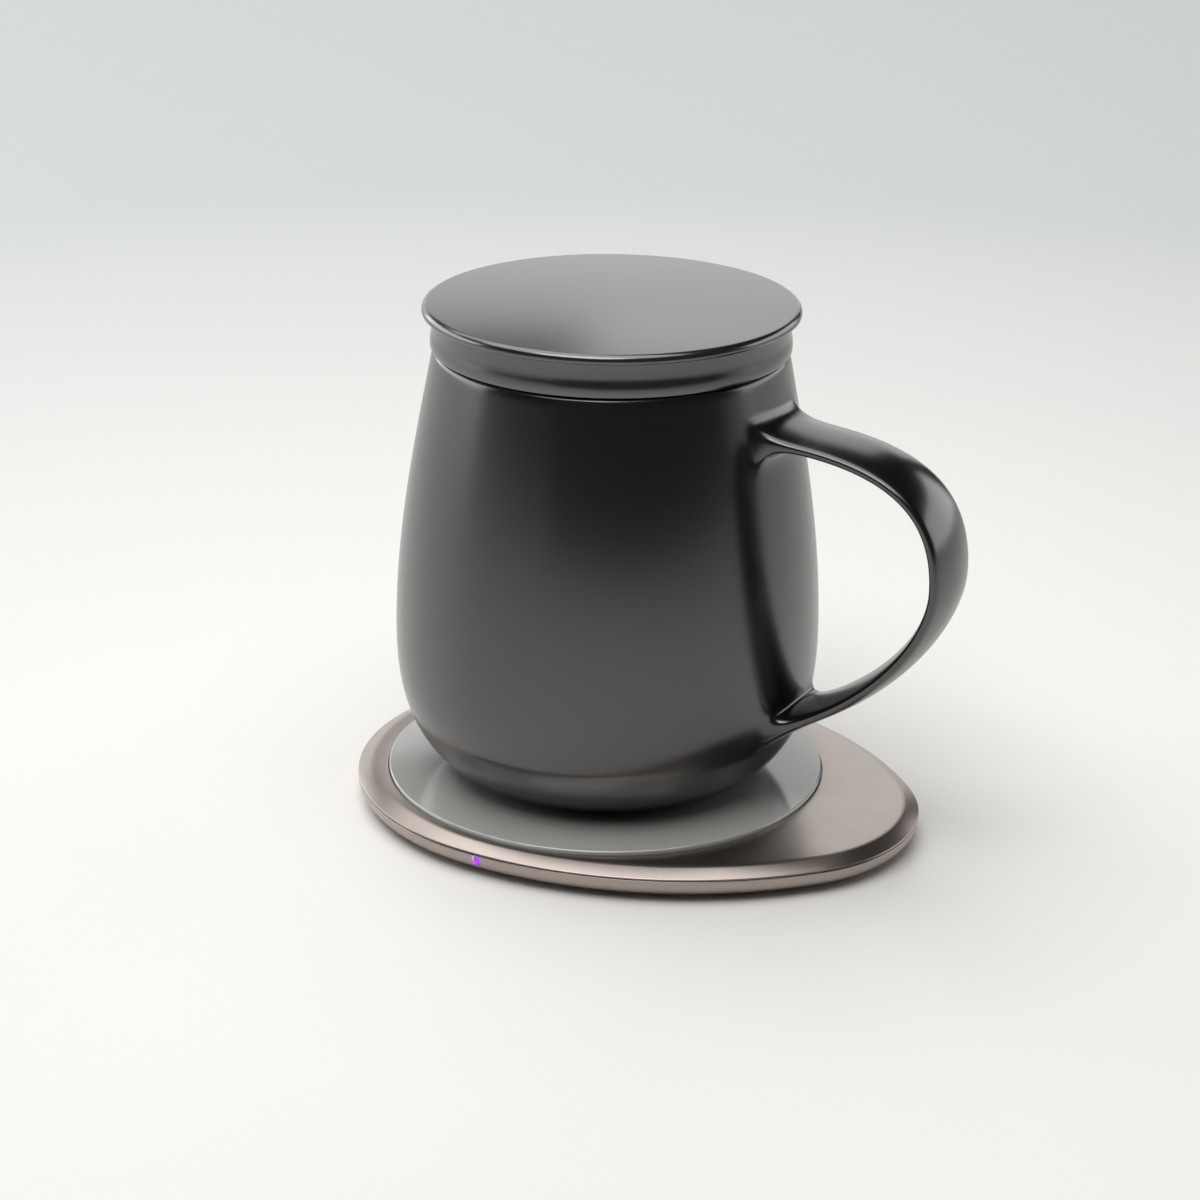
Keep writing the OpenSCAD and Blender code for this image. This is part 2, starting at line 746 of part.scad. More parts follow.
module lid_cap() {
    color(charcoal)
        translate([0, 0, lid_z])
            rotate_extrude()
                polygon(concat(
                    [[0, lid_h - lid_top_t], [collar_in_r, lid_h - lid_top_t]],
                    arc([collar_in_r + collar_round, collar_low + collar_round], collar_round, 180, 270, 3),
                    arc([collar_r - collar_round, collar_low + collar_round], collar_round, 270, 360, 3),
                    [[collar_r, 0], [groove_in_r, 0], [groove_in_r, groove_d], [groove_out_r, groove_d],
                     [groove_out_r, 0]],
                    curve(flare_low, flare_steps),
                    tail(curve(flare_high, flare_steps)),
                    [[neck_r, lid_band_h]],
                    arc([lid_r - lid_edge_r, lid_band_h + lid_edge_r], lid_edge_r, 270, 450, 8),
                    [[0, lid_h]]));
}

module lid_gasket() {
    color(silicone)
        ring(lid_gasket_r + lid_gasket_w / 2, lid_gasket_r - lid_gasket_w / 2, rim_z, rim_z + lid_gasket_t);
}

non_slip_sole();
bottom_cover();
cover_screws();
cover_gasket();
top_cover();
plate_adhesive();
charging_plate();
coil_carrier();
ferrite_shield();
transmit_coil();
coil_leads();
thermistor();
thermal_pad();
main_board();
controller_chip();
switching_transistors();
resonant_capacitors();
power_inductor();
usb_shell();
usb_tongue();
status_led();
light_pipe();
mug_body();
mug_handle();
heating_film();
insulation_ring();
receiver_board();
tuning_capacitors();
thermal_cutout();
receiver_ferrite();
receiver_coil();
base_cover();
base_seal();
lid_cap();
lid_gasket();
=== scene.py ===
import json
import math

import bmesh
import bpy
from mathutils import Matrix, Vector


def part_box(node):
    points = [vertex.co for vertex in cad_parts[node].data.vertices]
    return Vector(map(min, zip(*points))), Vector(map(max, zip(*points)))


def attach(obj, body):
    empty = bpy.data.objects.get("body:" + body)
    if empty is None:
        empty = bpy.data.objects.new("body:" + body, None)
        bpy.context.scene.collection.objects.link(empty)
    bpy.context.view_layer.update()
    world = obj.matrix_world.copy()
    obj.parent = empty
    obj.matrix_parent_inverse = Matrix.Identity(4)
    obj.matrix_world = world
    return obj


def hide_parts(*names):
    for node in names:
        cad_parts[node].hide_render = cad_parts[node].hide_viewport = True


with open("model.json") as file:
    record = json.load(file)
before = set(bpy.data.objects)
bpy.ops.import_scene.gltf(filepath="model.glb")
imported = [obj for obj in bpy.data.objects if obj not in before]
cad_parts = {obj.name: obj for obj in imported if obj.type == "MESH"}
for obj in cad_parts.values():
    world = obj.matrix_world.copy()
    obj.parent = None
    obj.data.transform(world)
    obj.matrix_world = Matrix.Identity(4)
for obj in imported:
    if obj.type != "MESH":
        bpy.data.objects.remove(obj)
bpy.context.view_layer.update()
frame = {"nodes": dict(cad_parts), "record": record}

MM = 0.001
FULL_TURN = 2 * math.pi
SAME_PLACE = 1e-7

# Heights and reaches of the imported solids
PLATE_LOW, PLATE_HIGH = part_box("charging_plate")
TOP_LOW, TOP_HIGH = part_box("top_cover")
TRAY_LOW, TRAY_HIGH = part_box("bottom_cover")
SOLE_LOW, SOLE_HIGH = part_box("non_slip_sole")
MUG_LOW, MUG_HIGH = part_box("mug_body")
HANDLE_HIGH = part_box("mug_handle")[1]
LID_LOW, LID_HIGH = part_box("lid_cap")
BASE_LOW, BASE_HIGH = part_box("base_cover")
PIPE_LOW, PIPE_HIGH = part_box("light_pipe")
SOCKET_LOW, SOCKET_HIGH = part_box("usb_shell")

# Egg outline of the pad: four arcs that run into one another
BACK_R = 50.6 * MM
TIP_R = 34.3 * MM
SIDE_R = 82.3 * MM
BACK_CENTRE = Vector((TOP_LOW.x + BACK_R, 0))
TIP_CENTRE = Vector((TOP_HIGH.x - TIP_R, 0))
TIP_REACH = TIP_CENTRE.x - BACK_CENTRE.x
SIDE_X = ((SIDE_R - BACK_R) ** 2 - (SIDE_R - TIP_R) ** 2 + TIP_REACH ** 2) / (2 * TIP_REACH)
SIDE_Y = math.sqrt((SIDE_R - BACK_R) ** 2 - SIDE_X ** 2)
TIP_TURN = math.atan2(SIDE_Y, TIP_REACH - SIDE_X)
BACK_TURN = math.atan2(SIDE_Y, -SIDE_X)
EGG_STEP = math.radians(1.6)

# Layers of the pad
SEAM_Z = TRAY_HIGH.z
SEAM_H = 0.35 * MM
SEAM_D = 0.35 * MM
COVER_LIP = 0.15 * MM
CHAMFER_W = 3.2 * MM
CHAMFER_ROUND = 0.65 * MM
LIP_ROUND = 0.14 * MM
SEAT_GAP = 0.15 * MM
SEAT_R = PLATE_HIGH.x + SEAT_GAP
LEDGE_W = 4.5 * MM
LEDGE_Z = PLATE_LOW.z - 0.2 * MM
UNDER_W = 5 * MM
UNDER_H = 4.1 * MM
UNDER_STEPS = 12
TRAY_WALL = 2 * MM
TRAY_FLOOR = 1.4 * MM
TRAY_CHAMFER = 1 * MM
SOLE_INSET = 6.2 * MM
SOLE_GAP = 0.1 * MM
SOLE_ROUND = 0.35 * MM
PLATE_ROUND = 0.4 * MM
LENS_R = 1.1 * MM
LENS_GAP = 0.05 * MM
SOCKET_GAP = 0.15 * MM
BAR_SIDES = 46
BAR_LENGTH = 8 * MM

# Mug walls as curves of [radius, height over the foot]
BELLY_R = 44.7 * MM
BELLY_Z = 30 * MM
RIM_R = 36.8 * MM
MUG_H = MUG_HIGH.z - MUG_LOW.z
WALL = 3.6 * MM
RIM_ROUND = 1.1 * MM
FOOT_R = 27 * MM
FOOT_IN_R = 24.2 * MM
FOOT_EDGE = 0.5 * MM
CHAMBER_H = 7.5 * MM
FLOOR_Z = 12 * MM
COLUMNS = 72


def span(low, high, share):
    return low + share * (high - low)


WALL_LOW = [(FOOT_R, FOOT_EDGE), (span(FOOT_R, BELLY_R, 0.53), FOOT_EDGE + 0.7 * MM),
            (BELLY_R, 0.37 * BELLY_Z), (BELLY_R, BELLY_Z)]
WALL_HIGH = [(BELLY_R, BELLY_Z), (BELLY_R, span(BELLY_Z, MUG_H, 0.36)),
             (RIM_R + 3.7 * MM, span(BELLY_Z, MUG_H, 0.67)), (RIM_R, MUG_H - RIM_ROUND)]
INSIDE_HIGH = [(r - WALL, z) for r, z in reversed(WALL_HIGH)]
INSIDE_R = BELLY_R - WALL
INSIDE_LOW = [(INSIDE_R, BELLY_Z), (INSIDE_R, span(FLOOR_Z, BELLY_Z, 0.35)),
              (0.8 * INSIDE_R, FLOOR_Z), (0.45 * INSIDE_R, FLOOR_Z)]

# Strap handle
ROOT_TOP_Z = 80 * MM
ROOT_LOW_Z = 18.7 * MM
STRAP_MID_Z = 55.5 * MM
STRAP_HALF_W = 8.7 * MM
STRAP_HALF_T = 2.1 * MM
STRAP_EDGE = 0.8 * MM
STRAP_REACH = HANDLE_HIGH.x - STRAP_HALF_T
STRAP_SIDES = 16
STRAP_EDGE_SIDES = 1.2
STRAP_RINGS = 11
ROOT_SINK = 1.6 * MM
ROOT_CLEAR = 2.6 * MM
ROOT_HALF_H = 3.6 * MM
ROOT_COLUMNS = 3
ROOT_SPREAD = 6 * MM
ROOT_WIDER = 0.1
ROOT_THICKER = 0.6


def bezier(points, share):
    """The point at that share of a cubic curve."""
    a, b, c, d = (Vector(p) for p in points)
    rest = 1 - share
    return rest ** 3 * a + 3 * rest ** 2 * share * b + 3 * rest * share ** 2 * c + share ** 3 * d


def bezier_heading(points, share):
    a, b, c, d = (Vector(p) for p in points)
    rest = 1 - share
    return (rest ** 2 * (b - a) + 2 * rest * share * (c - b) + share ** 2 * (d - c)).normalized()


def share_at(points, value, axis):
    """The share of a curve at which it passes that value on one axis."""
    low, high = 0.0, 1.0
    rising = points[3][axis] > points[0][axis]
    for _ in range(40):
        middle = (low + high) / 2
        if (bezier(points, middle)[axis] < value) == rising:
            low = middle
        else:
            high = middle
    return low


def wall_point(height):
    """Outer wall of the mug at that height over its foot, as (radius, height)."""
    curve = WALL_LOW if height < BELLY_Z else WALL_HIGH
    return bezier(curve, share_at(curve, height, 1))


def new_piece(name, bm, body, material, replaced=(), sharp=math.radians(35)):
    """Turns a finished bmesh into a piece of the object that rides on a body."""
    mesh = bpy.data.meshes.new(name)
    bm.to_mesh(mesh)
    bm.free()
    mesh.shade_smooth()
    mesh.set_sharp_from_angle(angle=sharp)
    mesh.materials.append(material)
    piece = bpy.data.objects.new(name, mesh)
    bpy.context.scene.collection.objects.link(piece)
    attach(piece, body)
    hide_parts(*replaced)
    return piece


def turned(corners, steps, rounding_steps=5):
    """A closed turned shape from (radius, height, rounding) corners, from the axis back to the axis."""
    bm = bmesh.new()
    verts = [bm.verts.new((r, 0, z)) for r, z, _ in corners]
    for pair in zip(verts, verts[1:]):
        bm.edges.new(pair)
    for vert, (_, _, rounding) in zip(verts, corners):
        if rounding:
            bmesh.ops.bevel(bm, geom=[vert], offset=rounding, affect="VERTICES",
                            segments=rounding_steps, profile=0.5, material=-1)
    bmesh.ops.spin(bm, geom=bm.verts[:] + bm.edges[:], cent=(0, 0, 0), axis=(0, 0, 1),
                   angle=FULL_TURN, steps=steps, use_merge=True)
    bmesh.ops.remove_doubles(bm, verts=bm.verts, dist=SAME_PLACE)
    bmesh.ops.recalc_face_normals(bm, faces=bm.faces)
    return bm


def egg_loop(bm, inset, height):
    """Edges of a closed loop along the pad's outline, that far inside it."""
    sides = Vector((SIDE_X, SIDE_Y))
    arcs = [(TIP_CENTRE, 2 * TIP_TURN),
            (BACK_CENTRE + sides * Vector((1, -1)), BACK_TURN - TIP_TURN),
            (BACK_CENTRE, FULL_TURN - 2 * BACK_TURN),
            (BACK_CENTRE + sides, BACK_TURN - TIP_TURN)]
    before = set(bm.edges)
    start = TIP_CENTRE + (TIP_R - inset) * Vector((math.cos(TIP_TURN), -math.sin(TIP_TURN)))
    first = last = bm.verts.new((start.x, start.y, height))
    for centre, turn in arcs:
        made = bmesh.ops.spin(bm, geom=[last], cent=(centre.x, centre.y, height), axis=(0, 0, 1),
                              angle=turn, steps=round(turn / EGG_STEP))
        last = made["geom_last"][0]
    bmesh.ops.weld_verts(bm, targetmap={last: first})
    return [edge for edge in bm.edges if edge not in before]


def bridge(bm, loops):
    for low, high in zip(loops, loops[1:]):
        bmesh.ops.bridge_loops(bm, edges=low + high)


def drawn_to_circle(bm, edges, radius, height):
    """Extrudes a loop of edges onto a circle round the mug's axis and gives the new loop."""
    made = bmesh.ops.extrude_edge_only(bm, edges=edges)["geom"]
    verts = {item for item in made if isinstance(item, bmesh.types.BMVert)}
    for vert in verts:
        x, y = vert.co.xy.normalized() * radius
        vert.co = (x, y, height)
    return [item for item in made if isinstance(item, bmesh.types.BMEdge) and set(item.verts) <= verts]


def round_edges(bm, edges, size, segments=4):
    bmesh.ops.bevel(bm, geom=edges, offset=size, affect="EDGES", segments=segments, profile=0.5,
                    material=-1, clamp_overlap=True)


def top_cover(material):
    """Metal ring of the pad: lip, bright chamfer, flat top and the seat of the charging plate."""
    bm = bmesh.new()
    under = egg_loop(bm, 0, SEAM_Z)
    lip = egg_loop(bm, 0, SEAM_Z + COVER_LIP)
    crest = egg_loop(bm, CHAMFER_W, TOP_HIGH.z)
    bridge(bm, [under, lip, crest])
    seat = drawn_to_circle(bm, crest, SEAT_R, TOP_HIGH.z)
    ledge = drawn_to_circle(bm, seat, SEAT_R, LEDGE_Z)
    window = drawn_to_circle(bm, ledge, SEAT_R - LEDGE_W, LEDGE_Z)
    window_low = drawn_to_circle(bm, window, SEAT_R - LEDGE_W, SEAM_Z + COVER_LIP)
    bridge(bm, [window_low, under])
    bmesh.ops.recalc_face_normals(bm, faces=bm.faces)
    round_edges(bm, crest, CHAMFER_ROUND, 6)
    round_edges(bm, lip, LIP_ROUND)
    round_edges(bm, seat, LIP_ROUND)
    new_piece("top_cover_shell", bm, "pad", material, ["top_cover"])


def side_bar(bm, place, radius, spread):
    """A bar along Y through the pad's side, drawn apart to a slot with round ends where spread is set."""
    lie = Matrix.Translation(place) @ Matrix.Rotation(math.pi / 2, 4, "X")
    verts = bmesh.ops.create_cone(bm, cap_ends=True, segments=BAR_SIDES, radius1=radius, radius2=radius,
                                  depth=BAR_LENGTH, matrix=lie)["verts"]
    for side in (-1, 1):
        half = [v for v in verts if (v.co.x - place.x) * side > 0]
        bmesh.ops.translate(bm, verts=half, vec=(side * spread, 0, 0))


def side_cutters():
    """Bars that cut the power socket's slot and the light window's hole through the pad's side."""
    bm = bmesh.new()
    width, _, height = SOCKET_HIGH - SOCKET_LOW
    middle = (SOCKET_LOW + SOCKET_HIGH) / 2
    lens = (PIPE_LOW + PIPE_HIGH) / 2
    side_bar(bm, Vector((middle.x, SOCKET_HIGH.y, middle.z)), height / 2 + SOCKET_GAP, (width - height) / 2)
    side_bar(bm, Vector((lens.x, PIPE_LOW.y, lens.z)), LENS_R + LENS_GAP, 0)
    mesh = bpy.data.meshes.new("side_cutters")
    bm.to_mesh(mesh)
    bm.free()
    cutter = bpy.data.objects.new("side_cutters", mesh)
    bpy.context.scene.collection.objects.link(cutter)
    return cutter


def cut_away(piece, cutter):
    """Cuts one shape out of a piece for good and removes the cutter."""
    cut = piece.modifiers.new("openings", "BOOLEAN")
    cut.operation = "DIFFERENCE"
    cut.solver = "EXACT"
    cut.object = cutter
    shown = piece.evaluated_get(bpy.context.evaluated_depsgraph_get())
    whole = piece.data
    piece.data = bpy.data.meshes.new_from_object(shown)
    piece.data.name = whole.name
    piece.modifiers.remove(cut)
    bpy.data.meshes.remove(whole)
    bpy.data.meshes.remove(cutter.data)


def inset_face(bm, face, width, depth=0.0):
    bmesh.ops.inset_individual(bm, faces=[face], thickness=width, depth=depth, use_even_offset=True)
    return face


def raised_face(bm, face, height):
    """Draws one flat face up or down and gives it back."""
    face = bmesh.ops.extrude_discrete_faces(bm, faces=[face])["faces"][0]
    bmesh.ops.translate(bm, verts=face.verts[:], vec=(0, 0, height))
    return face


def bottom_cover(material):
    """Metal tray of the pad: recess for the sole, rounded underside, side band and the step of the seam."""
    bm = bmesh.new()
    quarter = [math.pi / 2 * i / UNDER_STEPS for i in range(UNDER_STEPS + 1)]
    under = [egg_loop(bm, UNDER_W * (1 - math.sin(a)), TRAY_LOW.z + UNDER_H * (1 - math.cos(a)))
             for a in quarter]
    band = egg_loop(bm, 0, SEAM_Z - SEAM_H)
    bridge(bm, [*under, band])
    base = bmesh.ops.edgeloop_fill(bm, edges=under[0])["faces"][0]
    bay = bmesh.ops.edgeloop_fill(bm, edges=band)["faces"][0]
    bmesh.ops.recalc_face_normals(bm, faces=bm.faces)
    recess = inset_face(bm, base, SOLE_INSET - SOLE_GAP - UNDER_W)
    raised_face(bm, recess, SOLE_HIGH.z - TRAY_LOW.z)
    step = raised_face(bm, inset_face(bm, bay, SEAM_D), SEAM_H)
    floor = raised_face(bm, inset_face(bm, step, TRAY_WALL - SEAM_D),
                        TRAY_LOW.z + TRAY_FLOOR + TRAY_CHAMFER - SEAM_Z)
    inset_face(bm, floor, TRAY_CHAMFER, -TRAY_CHAMFER)
    round_edges(bm, band, LIP_ROUND)
    piece = new_piece("bottom_cover_shell", bm, "pad", material, ["bottom_cover"])
    cut_away(piece, side_cutters())


def sole(material):
    bm = bmesh.new()
    low = egg_loop(bm, SOLE_INSET, SOLE_LOW.z)
    high = egg_loop(bm, SOLE_INSET, SOLE_HIGH.z)
    bridge(bm, [low, high])
    bmesh.ops.edgeloop_fill(bm, edges=low)
    bmesh.ops.edgeloop_fill(bm, edges=high)
    bmesh.ops.recalc_face_normals(bm, faces=bm.faces)
    round_edges(bm, low, SOLE_ROUND)
    new_piece("sole", bm, "pad", material, ["non_slip_sole"])


def charging_plate(material):
    """Glass disc with a softly ground upper edge."""
    r = PLATE_HIGH.x
    bm = turned([(0, PLATE_LOW.z, 0), (r, PLATE_LOW.z, PLATE_ROUND / 2), (r, PLATE_HIGH.z, PLATE_ROUND),
                 (0, PLATE_HIGH.z, 0)], steps=240)
    new_piece("glass_plate", bm, "pad", material, ["charging_plate"])


def light_window(material):
    """Small domed lens that fills the hole in the pad's side band."""
    dome = 0.15 * MM
    depth = 2 * MM
    bm = turned([(0, 0, 0), (LENS_R, 0, 0), (LENS_R, depth, 0.3 * MM), (0, depth + dome, 0)], steps=40)
    middle = (PIPE_LOW + PIPE_HIGH) / 2
    bmesh.ops.rotate(bm, verts=bm.verts, matrix=Matrix.Rotation(math.pi / 2, 3, "X"))
    bmesh.ops.translate(bm, verts=bm.verts, vec=(middle.x, PIPE_LOW.y + depth + dome, middle.z))
    new_piece("light_window", bm, "pad", material, ["light_pipe"])


def mug_rows():
    """Rows of (radius, height) from the chamber's ceiling round the foot, up the wall, over the rim and
    down to the floor inside."""
    corner = 0.6 * MM
    foot_round = 0.4 * MM
    rim_in = RIM_R - WALL
    rim_side, rim_drop, rim_flat = 0.3 * MM, 0.25 * MM, 1.2 * MM
    rows = [(0, CHAMBER_H), (0.5 * FOOT_IN_R, CHAMBER_H), (FOOT_IN_R - corner, CHAMBER_H),
            (FOOT_IN_R, CHAMBER_H), (FOOT_IN_R, CHAMBER_H - corner), (FOOT_IN_R, 1 * MM),
            (FOOT_IN_R, 0.3 * MM), (FOOT_IN_R + foot_round, 0), (FOOT_R - 1 * MM, 0),
            (FOOT_R - foot_round, 0), (FOOT_R, FOOT_EDGE)]
    rows += [bezier(WALL_LOW, 0.1 * i) for i in range(1, 7)]
    rows += [wall_point(z) for z in mug_heights()]
    rows += [(RIM_R, MUG_H - RIM_ROUND), (RIM_R - rim_side, MUG_H - rim_drop),
             (RIM_R - rim_flat, MUG_H), (rim_in + rim_flat, MUG_H), (rim_in + rim_side, MUG_H - rim_drop)]
    rows += [bezier(INSIDE_HIGH, i / 8) for i in range(8)]
    rows += [bezier(INSIDE_LOW, i / 8) for i in range(9)]
    rows += [(0.5 * INSIDE_LOW[3][0], FLOOR_Z), (0, FLOOR_Z)]
    return rows


def mug_heights():
    """Heights of the rows on the outer wall, with three rows across each root of the handle."""
    root_low = [ROOT_LOW_Z + ROOT_HALF_H * i for i in (-1, 0, 1)]
    root_top = [ROOT_TOP_Z + ROOT_HALF_H * i for i in (-1, 0, 1)]
    gaps = 10
    below = 14.2 * MM
    between = [span(root_low[-1], root_top[0], i / gaps) for i in range(1, gaps)]
    above = [span(root_top[-1], MUG_H - RIM_ROUND, share) for share in (0.36, 0.72)]
    return [below, *root_low, *between, *root_top, *above]


def open_root(bm, height):
    """Takes the wall's faces away where one root of the handle joins and gives the edges round the gap."""
    limit = FULL_TURN / COLUMNS * ROOT_COLUMNS
    patch = set()
    for face in bm.faces:
        middle = face.calc_center_median()
        turn = math.atan2(middle.y, middle.x)
        if abs(middle.z - height) < ROOT_HALF_H and abs(turn) < limit:
            if middle.xy.length > wall_point(middle.z)[0] - WALL / 2:
                patch.add(face)
    rim = [e for e in bm.edges if sum(face in patch for face in e.link_faces) == 1]
    bmesh.ops.delete(bm, geom=list(patch), context="FACES")
    return rim


def strap_section(angle, half_w, half_t):
    """Crowned strap with a narrow edge: the point of its section that lies in that direction."""
    across = round(angle / (FULL_TURN / STRAP_SIDES)) % STRAP_SIDES
    quarter = STRAP_SIDES // 4
    step = across % quarter if across // quarter % 2 == 0 else quarter - across % quarter
    out = min(1, (quarter - step) / (quarter - STRAP_EDGE_SIDES))
    edge = STRAP_EDGE / STRAP_HALF_T
    up = 0 if step == 0 else 1 - (1 - edge) * out ** 2
    return math.copysign(out * half_w, math.cos(angle)), math.copysign(up * half_t, math.sin(angle))


def strap_ring(bm, curve, share):
    """One ring of the strap, square to its middle line, wider and thicker close to the wall."""
    middle = bezier(curve, share)
    heading = bezier_heading(curve, share)
    normal = Vector((-heading.y, heading.x))
    off_wall = middle.x - wall_point(middle.y)[0]
    near = max(0, 1 - off_wall / ROOT_SPREAD) ** 2
    half_w = STRAP_HALF_W * (1 + ROOT_WIDER * near)
    half_t = STRAP_HALF_T * (1 + ROOT_THICKER * near)
    verts = bmesh.ops.create_circle(bm, segments=STRAP_SIDES, radius=1)["verts"]
    for vert in verts:
        across, out = strap_section(math.atan2(vert.co.y, vert.co.x), half_w, half_t)
        place = middle + out * normal
        vert.co = (place.x, across, place.y)
    return list({edge for vert in verts for edge in vert.link_edges})


def strap_rings(bm):
    """Rings from the upper root round to the lower one."""
    top, low = wall_point(ROOT_TOP_Z), wall_point(ROOT_LOW_Z)
    upper = [top - Vector((ROOT_SINK, 0)), (span(top.x, STRAP_REACH, 0.58), ROOT_TOP_Z),
             (STRAP_REACH, span(ROOT_TOP_Z, STRAP_MID_Z, 0.2)), (STRAP_REACH, STRAP_MID_Z)]
    lower = [(STRAP_REACH, STRAP_MID_Z), (STRAP_REACH, span(STRAP_MID_Z, ROOT_LOW_Z, 0.33)),
             (span(low.x, STRAP_REACH, 0.58), span(ROOT_LOW_Z, STRAP_MID_Z, 0.22)),
             low - Vector((ROOT_SINK, 0))]
    start = share_at(upper, top.x + ROOT_CLEAR, 0)
    end = share_at(lower, low.x + ROOT_CLEAR, 0)
    shares = [(upper, span(start, 1, i / STRAP_RINGS)) for i in range(STRAP_RINGS + 1)]
    shares += [(lower, end * i / STRAP_RINGS) for i in range(1, STRAP_RINGS + 1)]
    return [strap_ring(bm, curve, share) for curve, share in shares]


def mug(material):
    """Ceramic mug, with its walls, foot and strap handle in one smooth skin."""
    bm = bmesh.new()
    verts = [bm.verts.new((r, 0, z)) for r, z in mug_rows()]
    for pair in zip(verts, verts[1:]):
        bm.edges.new(pair)
    bmesh.ops.spin(bm, geom=bm.verts[:] + bm.edges[:], cent=(0, 0, 0), axis=(0, 0, 1),
                   angle=FULL_TURN, steps=COLUMNS, use_merge=True)
    bmesh.ops.remove_doubles(bm, verts=bm.verts, dist=SAME_PLACE)
    top_gap = open_root(bm, ROOT_TOP_Z)
    low_gap = open_root(bm, ROOT_LOW_Z)
    bridge(bm, [top_gap, *strap_rings(bm), low_gap])
    bmesh.ops.recalc_face_normals(bm, faces=bm.faces)
    bmesh.ops.translate(bm, verts=bm.verts, vec=(0, 0, MUG_LOW.z))
    piece = new_piece("mug_with_handle", bm, "mug", material,
                      ["mug_body", "mug_handle"], sharp=math.pi)
    smooth = piece.modifiers.new("smooth skin", "SUBSURF")
    smooth.levels = smooth.render_levels = 2


def base_cover(material):
    """Moulded disc that closes the heater's chamber under the mug."""
    r = BASE_HIGH.x
    bm = turned([(0, BASE_HIGH.z, 0), (r, BASE_HIGH.z, 0), (r, BASE_LOW.z, 0.4 * MM), (0, BASE_LOW.z, 0)],
                steps=160)
    new_piece("heater_base", bm, "mug", material, ["base_cover"])


def lid(material):
    """Flat lid: thin round edge, band that flares out to its foot, groove of the gasket and the collar that
    drops into the mug."""
    top_t = 3.4 * MM
    edge_z = LID_HIGH.z - 2 * MM
    under_z = MUG_HIGH.z + 0.3 * MM
    collar_r = RIM_R - WALL - 0.6 * MM
    collar_in = collar_r - 2.8 * MM
    groove_z = under_z + 0.4 * MM
    groove_in, groove_out = (RIM_R - WALL / 2 + side * 0.85 * MM for side in (-1, 1))
    neck_r = LID_HIGH.x - 2 * MM
    flare_r = neck_r + 0.32 * MM
    flare_z = under_z + 1 * MM
    neck_z = under_z + 4.2 * MM
    flare_low = [(span(neck_r, flare_r, 0.3), under_z), (span(neck_r, flare_r, 0.7), under_z),
                 (flare_r, span(under_z, flare_z, 0.45)), (flare_r, flare_z)]
    flare_high = [(flare_r, flare_z), (flare_r, span(flare_z, neck_z, 0.45)),
                  (neck_r, span(flare_z, neck_z, 0.55)), (neck_r, neck_z)]
    flare = [bezier(flare_low, i / 8) for i in range(8)] + [bezier(flare_high, i / 16) for i in range(17)]
    bm = turned([(0, LID_HIGH.z - top_t, 0), (collar_in, LID_HIGH.z - top_t, 1 * MM),
                 (collar_in, LID_LOW.z, 0.6 * MM), (collar_r, LID_LOW.z, 0.6 * MM),
                 (collar_r, under_z, 0.3 * MM), (groove_in, under_z, 0), (groove_in, groove_z, 0),
                 (groove_out, groove_z, 0), (groove_out, under_z, 0), *((r, z, 0) for r, z in flare),
                 (neck_r, edge_z, 0.4 * MM), (LID_HIGH.x, edge_z, 0.6 * MM),
                 (LID_HIGH.x, LID_HIGH.z, 1.3 * MM), (0, LID_HIGH.z, 0)], steps=220, rounding_steps=7)
    new_piece("lid", bm, "lid", material, ["lid_cap"])


def new_material(name, colour, roughness, metallic=0.0):
    """A plain shader with its even values set, and the nodes that a finish adds to."""
    material = bpy.data.materials.new(name)
    material.use_nodes = True
    nodes = material.node_tree.nodes
    shader = nodes["Principled BSDF"]
    shader.inputs["Base Color"].default_value = (*colour, 1)
    shader.inputs["Roughness"].default_value = roughness
    shader.inputs["Metallic"].default_value = metallic
    return material, nodes, material.node_tree.links, shader


def grain(nodes, links, size, detail=3.0):
    """Noise on the piece's own coordinates, with grains of about that size."""
    place = nodes.new("ShaderNodeTexCoord")
    noise = nodes.new("ShaderNodeTexNoise")
    noise.inputs["Scale"].default_value = 1 / size
    noise.inputs["Detail"].default_value = detail
    links.new(place.outputs["Object"], noise.inputs["Vector"])
    return noise.outputs["Fac"]


def vary(nodes, links, source, socket, low, high):
    """Spreads a noise over a range of values and plugs it into a socket."""
    spread = nodes.new("ShaderNodeMapRange")
    spread.inputs["From Min"].default_value = 0.3
    spread.inputs["From Max"].default_value = 0.7
    spread.inputs["To Min"].default_value = low
    spread.inputs["To Max"].default_value = high
    links.new(source, spread.inputs["Value"])
    links.new(spread.outputs["Result"], socket)


def falloff(nodes, links, centre, reach):
    """One at a point on the piece's own coordinates, falling to nothing at that distance from it."""
    place = nodes.new("ShaderNodeTexCoord")
    move = nodes.new("ShaderNodeMapping")
    ball = nodes.new("ShaderNodeTexGradient")
    move.inputs["Location"].default_value = -centre / reach
    move.inputs["Scale"].default_value = (1 / reach, 1 / reach, 1 / reach)
    ball.gradient_type = "SPHERICAL"
    links.new(place.outputs["Object"], move.inputs["Vector"])
    links.new(move.outputs["Vector"], ball.inputs["Vector"])
    return ball.outputs["Fac"]


def tint(nodes, links, source, socket, low, high, begin=0.3, end=0.7):
    """Blends between two colours by a value and plugs the result into a socket."""
    ramp = nodes.new("ShaderNodeValToRGB")
    ramp.color_ramp.elements[0].position = begin
    ramp.color_ramp.elements[1].position = end
    ramp.color_ramp.elements[0].color = (*low, 1)
    ramp.color_ramp.elements[1].color = (*high, 1)
    links.new(source, ramp.inputs["Fac"])
    links.new(ramp.outputs["Color"], socket)


def emboss(nodes, links, source, shader, depth):
    """Raises the surface by a noise, to that depth."""
    bump = nodes.new("ShaderNodeBump")
    bump.inputs["Distance"].default_value = depth
    bump.inputs["Strength"].default_value = 1.0
    links.new(source, bump.inputs["Height"])
    links.new(bump.outputs["Normal"], shader.inputs["Normal"])


def scaled(colour, factor):
    return tuple(factor * part for part in colour)


